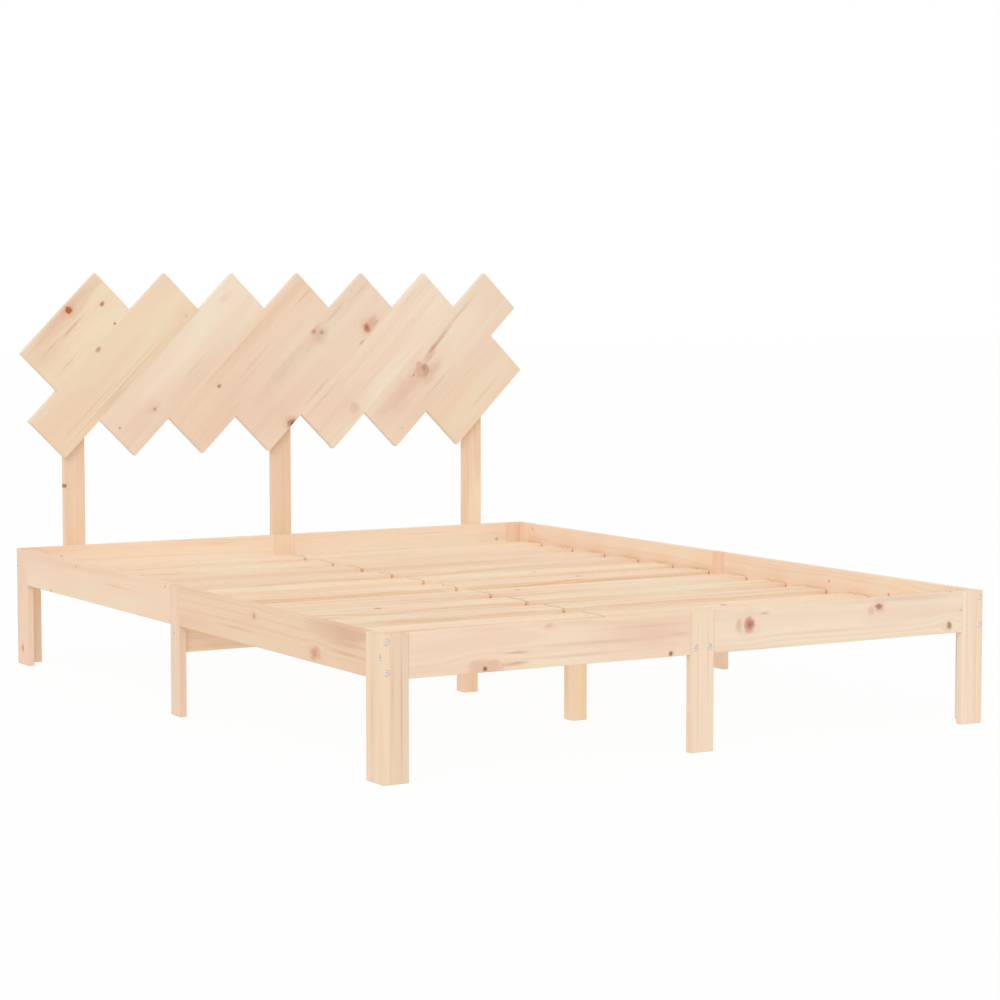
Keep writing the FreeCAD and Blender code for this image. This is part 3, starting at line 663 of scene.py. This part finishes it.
def makeBoardTree():
    # a planed board about the origin. Its edges are rounded in two steps: the grid's corners on an edge pull
    # in to the middle of the round, and the ones beside them mark where it begins.
    inputs = {"Size": "Vector", "Ease": ("Float", 1.5 * mm), "End ease": ("Float", 1.5 * mm)}
    tree, given, made = newGroup("planed board", "GeometryNodeTree", inputs, {"Board": "Geometry"})
    grid = {"Size": (2, 2, 2), "Vertices X": 4, "Vertices Y": 4, "Vertices Z": 4}
    cube = addNode(tree, "GeometryNodeMeshCube", grid).outputs["Mesh"]
    corner = split(tree, addNode(tree, "GeometryNodeInputPosition").outputs[0])
    halves = split(tree, vectorCalc(tree, "MULTIPLY", given["Size"], (0.5, 0.5, 0.5)))
    outer = [calc(tree, "GREATER_THAN", calc(tree, "ABSOLUTE", place), 0.5) for place in corner]
    sides = larger(tree, plus(tree, *outer), 1.0)
    pull = minus(tree, 1.0, calc(tree, "INVERSE_SQRT", sides))
    sideEase = plus(tree, given["Ease"], times(tree, outer[0], minus(tree, given["End ease"], given["Ease"])))
    places = []
    for place, half, isOuter, ease in zip(corner, halves, outer, (given["End ease"], sideEase, sideEase)):
        inward = plus(tree, times(tree, isOuter, pull), minus(tree, 1.0, isOuter))
        reach = minus(tree, half, times(tree, inward, ease))
        places.append(times(tree, calc(tree, "SIGN", place), reach))
    moved = addNode(tree, "GeometryNodeSetPosition", {"Geometry": cube, "Position": combine(tree, *places)})
    tree.links.new(moved.outputs[0], made["Board"])
    return tree


boardTree = makeBoardTree()
planks = {
    "count": 8,
    "width": 141 * mm,
    "length": 552 * mm,
    "endLength": 299 * mm,  # of the first and the last plank
    "thickness": 18 * mm,
    "ease": 0.25 * mm,
    "endEase": 1.2 * mm,
    "tilt": math.radians(45),
    "centreHeight": 785 * mm,
    "firstSeed": 200,
}


def makePlankTree():
    # one headboard plank: each lies a board width further along and across than the one before
    inputs = {
        "Number": "Int", "Planks": ("Int", 8), "Width": "Float", "Length": "Float", "End length": "Float",
        "Thickness": "Float", "Ease": "Float", "End ease": "Float", "Tilt": "Float", "Middle": "Vector",
        "Material": "Material",
    }
    tree, given, made = newGroup("headboard plank", "GeometryNodeTree", inputs, {"Geometry": "Geometry"})
    last = minus(tree, given["Planks"], 1.0)
    isFirst = calc(tree, "LESS_THAN", given["Number"], 0.5)
    isLast = calc(tree, "GREATER_THAN", given["Number"], minus(tree, last, 0.5))
    across = times(tree, minus(tree, given["Number"], times(tree, last, 0.5)), given["Width"])
    shorter = minus(tree, given["Length"], given["End length"])
    length = minus(tree, given["Length"], times(tree, shorter, plus(tree, isFirst, isLast)))
    along = plus(tree, across, times(tree, shorter, minus(tree, isFirst, isLast), 0.5))
    size = combine(tree, length, given["Thickness"], given["Width"])
    shape = {"Size": size, "Ease": given["Ease"], "End ease": given["End ease"]}
    board = addNode(tree, "GeometryNodeGroup", shape, node_tree=boardTree).outputs[0]
    cosine, sine = calc(tree, "COSINE", given["Tilt"]), calc(tree, "SINE", given["Tilt"])
    right = plus(tree, times(tree, cosine, along), times(tree, sine, across))
    up = minus(tree, times(tree, sine, along), times(tree, cosine, across))
    place = vectorCalc(tree, "ADD", given["Middle"], combine(tree, right, 0.0, up))
    turn = combine(tree, 0.0, times(tree, given["Tilt"], -1.0), 0.0)
    closeTree(tree, placed(tree, board, place, turn), given["Material"], made["Geometry"])
    return tree


def buildPlanks():
    tree = makePlankTree()
    low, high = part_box("headboard_plank_4")
    cosine, sine = math.cos(planks["tilt"]), math.sin(planks["tilt"])
    along, downhill = Vector((cosine, 0, sine)), Vector((sine, 0, -cosine))
    values = {
        "Planks": planks["count"], "Width": planks["width"], "Length": planks["length"],
        "End length": planks["endLength"], "Thickness": planks["thickness"], "Ease": planks["ease"],
        "End ease": planks["endEase"], "Tilt": planks["tilt"],
        "Middle": Vector((0, (low.y + high.y) / 2, planks["centreHeight"])),
    }
    for index in range(planks["count"]):
        node = f"headboard_plank_{index + 1}"
        isEnd = index in (0, planks["count"] - 1)
        length = planks["endLength"] if isEnd else planks["length"]
        middle = sum(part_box(node), Vector()) / 2
        half = (length / 2, planks["width"] / 2, planks["thickness"] / 2)
        look, seed = boardLooks["plank"], planks["firstSeed"] + index
        material = pineMaterial(node, middle, along, downhill, half, look, boardMarks[node], seed)
        plank = grown(f"diagonal_plank_{index + 1}", tree, {**values, "Number": index, "Material": material})
        standFor(plank, node)
    print("headboard planks built:", planks["count"])


slats = {
    "rows": 12,
    "ease": 1.5 * mm,
    "centreGap": 10 * mm,  # between the left and the right board of a row
    "sinkRadius": 3.9 * mm,
    "sinkShare": 0.98,  # how much of the sink's cone is in the wood
    "holeRadius": 1.8 * mm,
    "holeSides": 20,
    "firstSeed": 300,
}


def makeSlatTree():
    # a row of two slats, each sunk for a screw over the ledger and one over the centre beam
    inputs = {
        "Size": "Vector", "Ease": "Float", "Middle": "Vector", "From middle": "Float", "Outer screw": "Float",
        "Inner screw": "Float", "Sink radius": "Float", "Hole radius": "Float", "Material": "Material",
    }
    tree, given, made = newGroup("slat row", "GeometryNodeTree", inputs, {"Geometry": "Geometry"})
    shape = {"Size": given["Size"], "Ease": given["Ease"], "End ease": given["Ease"]}
    board = addNode(tree, "GeometryNodeGroup", shape, node_tree=boardTree).outputs[0]
    length, _, thickness = split(tree, given["Size"])
    offset = plus(tree, given["From middle"], times(tree, length, 0.5))
    slat = placed(tree, board, combine(tree, offset, 0.0, 0.0))
    sides, sinkRadius = slats["holeSides"], given["Sink radius"]
    sink = {"Vertices": sides, "Radius Top": sinkRadius, "Radius Bottom": 0.0, "Depth": sinkRadius}
    sink = addNode(tree, "GeometryNodeMeshCone", sink).outputs["Mesh"]
    sinkHeight = minus(tree, times(tree, thickness, 0.5), times(tree, sinkRadius, slats["sinkShare"]))
    hole = {"Vertices": sides, "Radius": given["Hole radius"], "Depth": times(tree, thickness, 3.0)}
    hole = addNode(tree, "GeometryNodeMeshCylinder", hole).outputs["Mesh"]
    cutters = []
    for screw in ("Outer screw", "Inner screw"):
        for cutter, height in ((sink, sinkHeight), (hole, 0.0)):
            cutters.append(placed(tree, cutter, combine(tree, given[screw], 0.0, height)))
    right = without(tree, slat, cutters)
    left = placed(tree, right, (0, 0, 0), (0, 0, math.pi))
    row = placed(tree, together(tree, [right, left]), given["Middle"])
    closeTree(tree, row, given["Material"], made["Geometry"])
    return tree


def buildSlats():
    tree = makeSlatTree()
    ledgerLow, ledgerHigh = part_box("ledger_right_foot_half")
    values = {
        "Ease": slats["ease"], "From middle": slats["centreGap"] / 2,
        "Outer screw": (ledgerLow.x + ledgerHigh.x) / 2,
        "Inner screw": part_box("centre_beam_foot_half")[1].x / 2,
        "Sink radius": slats["sinkRadius"], "Hole radius": slats["holeRadius"],
    }
    for row in range(slats["rows"]):
        node = f"slat_row_{row + 1:02d}"
        low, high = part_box(node)
        middle = (low + high) / 2
        size = Vector((high.x - slats["centreGap"] / 2, high.y - low.y, high.z - low.z))
        half = (high.x, size.y / 2, size.z / 2)
        look, seed = boardLooks["slat"], slats["firstSeed"] + row
        material = pineMaterial(node, middle, axisX, axisY, half, look, scattered(seed, half), seed)
        own = {"Size": size, "Middle": middle, "Material": material}
        standFor(grown(f"slat_pair_{row + 1:02d}", tree, {**values, **own}), node)
    print("slat rows built:", slats["rows"])


# Fasteners. Every one stands where its solid stands in the frame.
# Corners within the weld distance are one, and an end is what lies beyond the end share of half the length.
solidSearch = {"weld": 0.02 * mm, "endShare": 0.9}


def solidEnds(node):
    # the outer end and the driven direction of each solid in a group of alike fasteners
    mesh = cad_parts[node].data
    corners = np.array([vertex.co[:] for vertex in mesh.vertices])
    keys = np.round(corners / solidSearch["weld"]).astype(int)
    _, shared = np.unique(keys, axis=0, return_inverse=True)
    shared = shared.ravel()
    parent = list(range(shared.max() + 1))

    def root(item):
        while parent[item] != item:
            parent[item] = parent[parent[item]]
            item = parent[item]
        return item

    for face in mesh.polygons:
        first, *others = [root(shared[index]) for index in face.vertices]
        for other in others:
            parent[other] = first
    groups = {}
    for index, key in enumerate(shared):
        groups.setdefault(root(key), []).append(index)
    places = []
    for members in groups.values():
        cloud = corners[members]
        middle = (cloud.min(axis=0) + cloud.max(axis=0)) / 2
        line = np.linalg.svd(cloud - cloud.mean(axis=0), full_matrices=False)[2][0]
        heights = (cloud - middle) @ line
        radii = np.linalg.norm(cloud - middle - np.outer(heights, line), axis=1)
        reach = np.abs(heights).max()
        startWide = radii[heights < -solidSearch["endShare"] * reach].max()
        endWide = radii[heights > solidSearch["endShare"] * reach].max()
        direction = line if startWide >= endWide else -line
        places.append((Vector(middle - direction * reach), Vector(direction)))
    return sorted(places, key=lambda place: tuple(round(value, 4) for value in place[0]))


def placesMesh(name, places):
    mesh = bpy.data.meshes.new(name)
    mesh.from_pydata([place for place, _ in places], [], [])
    driven = mesh.attributes.new("driven", "FLOAT_VECTOR", "POINT")
    driven.data.foreach_set("vector", [value for _, direction in places for value in direction])
    return mesh


def circle(tree, sides):
    inputs = {"Resolution": sides, "Radius": 1.0}
    return addNode(tree, "GeometryNodeCurvePrimitiveCircle", inputs).outputs[0]


def lathe(tree, outline, profile):
    # turns a list of (height, radius) pairs about +Z into a closed shape, with the profile as its round
    heights, radii = zip(*outline)
    line = addNode(tree, "GeometryNodeCurvePrimitiveLine", {"Start": (0, 0, 0), "End": (0, 0, 1)})
    steps = addNode(tree, "GeometryNodeResampleCurve", {"Curve": line.outputs[0], "Count": len(outline)})
    index = addNode(tree, "GeometryNodeInputIndex").outputs[0]

    def listed(values):
        switch = addNode(tree, "GeometryNodeIndexSwitch", data_type="FLOAT")
        while len(switch.index_switch_items) < len(values):
            switch.index_switch_items.new()
        tree.links.new(index, switch.inputs[0])
        for number, value in enumerate(values):
            if isinstance(value, bpy.types.NodeSocket):
                tree.links.new(value, switch.inputs[number + 1])
            else:
                switch.inputs[number + 1].default_value = value
        return switch.outputs[0]

    spine = {"Geometry": steps.outputs[0], "Position": combine(tree, 0.0, 0.0, listed(heights))}
    spine = addNode(tree, "GeometryNodeSetPosition", spine).outputs[0]
    turned = {"Curve": spine, "Profile Curve": profile, "Scale": listed(radii), "Fill Caps": True}
    return addNode(tree, "GeometryNodeCurveToMesh", turned).outputs[0]


threadForm = {"stepsPerTurn": 7, "sides": 3}


def threadRidge(tree, start, length, radius, depth, turns):
    coil = {
        "Resolution": threadForm["stepsPerTurn"], "Rotations": turns, "Start Radius": radius,
        "End Radius": radius, "Height": length,
    }
    coil = addNode(tree, "GeometryNodeCurveSpiral", coil).outputs[0]
    profile = circle(tree, threadForm["sides"])
    ridge = {"Curve": coil, "Profile Curve": profile, "Scale": depth, "Fill Caps": True}
    ridge = addNode(tree, "GeometryNodeCurveToMesh", ridge).outputs[0]
    return placed(tree, ridge, combine(tree, 0.0, 0.0, start))


def spread(tree, model, given, made):
    # one copy of the model on every place, turned to the way it is driven and by a chance amount about it
    driven = addNode(tree, "GeometryNodeInputNamedAttribute", {"Name": "driven"}, data_type="FLOAT_VECTOR")
    aimed = addNode(tree, "FunctionNodeAlignRotationToVector", {"Vector": driven.outputs[0]}, axis="Z")
    copies = {"Points": given["Places"], "Instance": model, "Rotation": aimed.outputs[0]}
    copies = addNode(tree, "GeometryNodeInstanceOnPoints", copies).outputs[0]
    chance = addNode(tree, "FunctionNodeRandomValue", {2: 0.0, 3: 2 * math.pi, "Seed": 7}, data_type="FLOAT")
    spun = {"Instances": copies, "Rotation": combine(tree, 0.0, 0.0, chance.outputs[1]), "Local Space": True}
    copies = addNode(tree, "GeometryNodeRotateInstances", spun).outputs[0]
    closeTree(tree, copies, given["Material"], made["Geometry"])


fastenerSockets = {"Places": "Geometry", "Length": "Float", "Radius": "Float", "Material": "Material"}
screwForm = {
    "sides": 16,
    "headTop": 0.94, "rimHeight": 0.08,  # shares of the head's radius
    "recessLength": 1.15, "recessWidth": 0.24, "recessDepth": 0.9,  # the same, half the depth is in the head
    "smoothEnd": 0.30, "coreStart": 0.32, "threadStart": 0.33,  # shares of the length
    "core": 0.72, "thread": 0.28, "point": 0.1,  # shares of the shank's radius
}


def makeScrewTree():
    inputs = {**fastenerSockets, "Head radius": "Float", "Tip": "Float", "Turns": ("Float", 11.0)}
    tree, given, made = newGroup("countersunk screw", "GeometryNodeTree", inputs, {"Geometry": "Geometry"})
    length, radius, headRadius = given["Length"], given["Radius"], given["Head radius"]

    def share(whole, name):
        return times(tree, whole, screwForm[name])

    core, tipStart = share(radius, "core"), minus(tree, length, given["Tip"])
    outline = [
        (0.0, share(headRadius, "headTop")), (share(headRadius, "rimHeight"), headRadius),
        (minus(tree, headRadius, radius), radius), (share(length, "smoothEnd"), radius),
        (share(length, "coreStart"), core), (tipStart, core), (length, share(radius, "point")),
    ]
    body = lathe(tree, outline, circle(tree, screwForm["sides"]))
    wide, thin, deep = [share(headRadius, side) for side in ("recessLength", "recessWidth", "recessDepth")]
    bars = [combine(tree, wide, thin, deep), combine(tree, thin, wide, deep)]
    recess = [addNode(tree, "GeometryNodeMeshCube", {"Size": bar}).outputs[0] for bar in bars]
    body = without(tree, body, recess)
    threadStart = share(length, "threadStart")
    threadLength = minus(tree, tipStart, threadStart)
    thread = threadRidge(tree, threadStart, threadLength, core, share(radius, "thread"), given["Turns"])
    spread(tree, together(tree, [body, thread]), given, made)
    return tree


boltForm = {
    "sides": 32,
    "dome": ((0.0, 0.80), (0.10, 0.92), (0.30, 0.99), (0.5, 1.0)),  # shares of the head's height and radius
    "underHead": 0.01 * mm,
    "smoothShare": 0.66,  # of the length
    "coreShare": 0.82, "threadShare": 0.18,  # of the shank's radius
    "coreStep": 0.5 * mm,
    "chamfer": 1 * mm, "endShare": 0.8,  # the tip narrows to a share of the core
    "threadInset": 1 * mm,  # of the thread's ridge at either end
}


def makeBoltTree():
    inputs = {
        **fastenerSockets, "Head radius": "Float", "Head height": "Float", "Socket": "Float",
        "Socket depth": "Float", "Turns": ("Float", 24.0),
    }
    tree, given, made = newGroup("socket bolt", "GeometryNodeTree", inputs, {"Geometry": "Geometry"})
    length, radius = given["Length"], given["Radius"]
    headRadius, headHeight = given["Head radius"], given["Head height"]
    smoothEnd = times(tree, length, boltForm["smoothShare"])
    core = times(tree, radius, boltForm["coreShare"])
    dome = [
        (times(tree, headHeight, height), times(tree, headRadius, width))
        for height, width in boltForm["dome"]
    ]
    shank = [
        (plus(tree, headHeight, boltForm["underHead"]), radius), (smoothEnd, radius),
        (plus(tree, smoothEnd, boltForm["coreStep"]), core), (minus(tree, length, boltForm["chamfer"]), core),
        (length, times(tree, core, boltForm["endShare"])),
    ]
    outline = [*dome, (headHeight, headRadius), *shank]
    body = lathe(tree, outline, circle(tree, boltForm["sides"]))
    # the socket's size is across its flats, and the hexagon's radius goes to its corners
    socket = {
        "Vertices": 6, "Radius": over(tree, given["Socket"], math.sqrt(3)),
        "Depth": times(tree, given["Socket depth"], 2.0),
    }
    body = without(tree, body, [addNode(tree, "GeometryNodeMeshCylinder", socket).outputs["Mesh"]])
    threadStart = plus(tree, smoothEnd, boltForm["threadInset"])
    threadLength = minus(tree, minus(tree, length, smoothEnd), 2 * boltForm["threadInset"])
    depth = times(tree, radius, boltForm["threadShare"])
    thread = threadRidge(tree, threadStart, threadLength, core, depth, given["Turns"])
    spread(tree, together(tree, [body, thread]), given, made)
    return tree


dowelForm = {"sides": 28, "fluteDepth": 0.06}  # every second side is a flute, sunk by a share of the radius


def makeDowelTree():
    inputs = {**fastenerSockets, "Chamfer": "Float"}
    tree, given, made = newGroup("fluted dowel", "GeometryNodeTree", inputs, {"Geometry": "Geometry"})
    length, radius, chamfer = given["Length"], given["Radius"], given["Chamfer"]
    flute = calc(tree, "MODULO", addNode(tree, "GeometryNodeInputIndex").outputs[0], 2.0)
    share = minus(tree, 1.0, times(tree, flute, dowelForm["fluteDepth"]))
    place = addNode(tree, "GeometryNodeInputPosition").outputs[0]
    place = vectorCalc(tree, "MULTIPLY", place, combine(tree, share, share, share))
    fluted = {"Geometry": circle(tree, dowelForm["sides"]), "Position": place}
    profile = addNode(tree, "GeometryNodeSetPosition", fluted).outputs[0]
    small = minus(tree, radius, chamfer)
    outline = [(0.0, small), (chamfer, radius), (minus(tree, length, chamfer), radius), (length, small)]
    spread(tree, lathe(tree, outline, profile), given, made)
    return tree


zinc = metalMaterial("zinc_plating", (234, 222, 216), (222, 209, 203))
yellowZinc = metalMaterial("yellow_zinc_plating", (216, 190, 132), (190, 160, 104))
dowels = {"middle": Vector((0, 0, 0.26)), "half": (1.0, 1.0, 1.0), "seed": 400}  # one block of grain for all
# sizes of the fasteners in millimetres
boltHead = {"Head radius": 7, "Head height": 2.5, "Socket": 4, "Socket depth": 2}
frameBolt = {"Length": 110, "Radius": 3, **boltHead}
legBolt = {"Length": 60, "Radius": 3, **boltHead}
slatScrew = {"Length": 30, "Radius": 1.75, "Head radius": 3.5, "Tip": 4}
headboardScrew = {"Length": 33, "Radius": 3, "Head radius": 5, "Tip": 3}
jointDowel = {"Length": 40, "Radius": 4, "Chamfer": 1}


def buildFasteners():
    screwTree, boltTree, dowelTree = makeScrewTree(), makeBoltTree(), makeDowelTree()
    look = boardLooks["dowel"]
    beech = pineMaterial("beech", dowels["middle"], axisX, axisZ, dowels["half"], look, [], dowels["seed"])
    groups = (
        ("frame_bolts", "long_bolts", "zinc_bolt", boltTree, zinc, frameBolt),
        ("leg_bolts", "short_bolts", "zinc_bolt", boltTree, zinc, legBolt),
        ("slat_screws", "wood_screws", "wood_screw", screwTree, yellowZinc, slatScrew),
        ("headboard_screws", "post_screws", "zinc_bolt", screwTree, zinc, headboardScrew),
        ("joint_dowels", "wood_dowels", "beech_dowel", dowelTree, beech, jointDowel),
    )
    for name, node, slot, tree, material, sizes in groups:
        places = solidEnds(node)
        values = {label: size * mm for label, size in sizes.items()}
        piece = grown(name, tree, {**values, "Material": material}, placesMesh(name + "_places", places))
        standFor(piece, node)
        print(name, len(places), "places,", len(piece.data.polygons), "faces")
    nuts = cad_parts["barrel_nuts"]
    nuts.data.materials.clear()
    nuts.data.materials.append(zinc)


finishBoards()
buildPlanks()
buildSlats()
buildFasteners()


# Floor, light and camera
studio = {
    "skyLight": 0.86,
    "sunLight": 0.78,
    "sunPlace": (-5, -5, 5),
    "sunSoftness": 40,  # degrees
    "aim": (0, 0, 0.4),
    "floorSize": 60,
    "floorColour": (247, 246, 244),
    "floorGlow": 0.94,  # share of plain white in the floor that the camera sees
}
view = {
    "lens": 98.974,
    "sensor": 36,
    "place": (-3.3458, -5.8626, 1.0215),
    "azimuth": 30.486,  # degrees to the right of +Y
    "pitch": -4.652,
    "farthest": 200,
}


def lightPathMask(tree):
    # camera, mirror and glass rays see the plain white background
    path = addNode(tree, "ShaderNodeLightPath").outputs
    return larger(tree, path["Is Camera Ray"], path["Is Glossy Ray"], path["Is Transmission Ray"])


def makeFloor():
    reach = studio["floorSize"] / 2
    mesh = bpy.data.meshes.new("studio_floor")
    corners = [(-reach, -reach, 0), (reach, -reach, 0), (reach, reach, 0), (-reach, reach, 0)]
    mesh.from_pydata(corners, [], [(0, 1, 2, 3)])
    floor = bpy.data.objects.new("studio_floor", mesh)
    scene.collection.objects.link(floor)
    # the white all round reaches the object from below too, as it does in a light tent
    floor.visible_diffuse = False
    floor.visible_shadow = False
    material = bpy.data.materials.new("studio_floor")
    material.use_nodes = True
    tree = material.node_tree
    tree.nodes.clear()
    matte = addNode(tree, "ShaderNodeBsdfDiffuse", {"Color": paint(*studio["floorColour"])})
    glow = addNode(tree, "ShaderNodeEmission", {"Color": (1, 1, 1, 1), "Strength": 1.0})
    share = times(tree, lightPathMask(tree), studio["floorGlow"])
    both = addNode(tree, "ShaderNodeMixShader", {0: share, 1: matte.outputs[0], 2: glow.outputs[0]})
    output = addNode(tree, "ShaderNodeOutputMaterial")
    tree.links.new(both.outputs[0], output.inputs["Surface"])
    mesh.materials.append(material)


def makeLights():
    world = bpy.data.worlds.new("studio")
    scene.world = world
    world.use_nodes = True
    tree = world.node_tree
    background = tree.nodes["Background"]
    background.inputs["Color"].default_value = (1, 1, 1, 1)
    strength = fade(tree, lightPathMask(tree), 0.0, 1.0, studio["skyLight"], 1.0)
    tree.links.new(strength, background.inputs["Strength"])
    lamp = bpy.data.lights.new("key", "SUN")
    lamp.energy = studio["sunLight"]
    lamp.angle = math.radians(studio["sunSoftness"])
    light = bpy.data.objects.new("key", lamp)
    light.location = studio["sunPlace"]
    light.rotation_euler = (Vector(studio["aim"]) - light.location).to_track_quat("-Z", "Y").to_euler()
    scene.collection.objects.link(light)


def makeCamera():
    data = bpy.data.cameras.new("camera")
    data.lens, data.sensor_width = view["lens"], view["sensor"]
    data.clip_end = view["farthest"]
    camera = bpy.data.objects.new("camera", data)
    camera.location = view["place"]
    camera.rotation_euler = (math.radians(90 + view["pitch"]), 0, -math.radians(view["azimuth"]))
    scene.collection.objects.link(camera)
    scene.camera = camera


makeFloor()
makeLights()
makeCamera()
scene.view_settings.view_transform = "Standard"
print("floor, light and camera set")
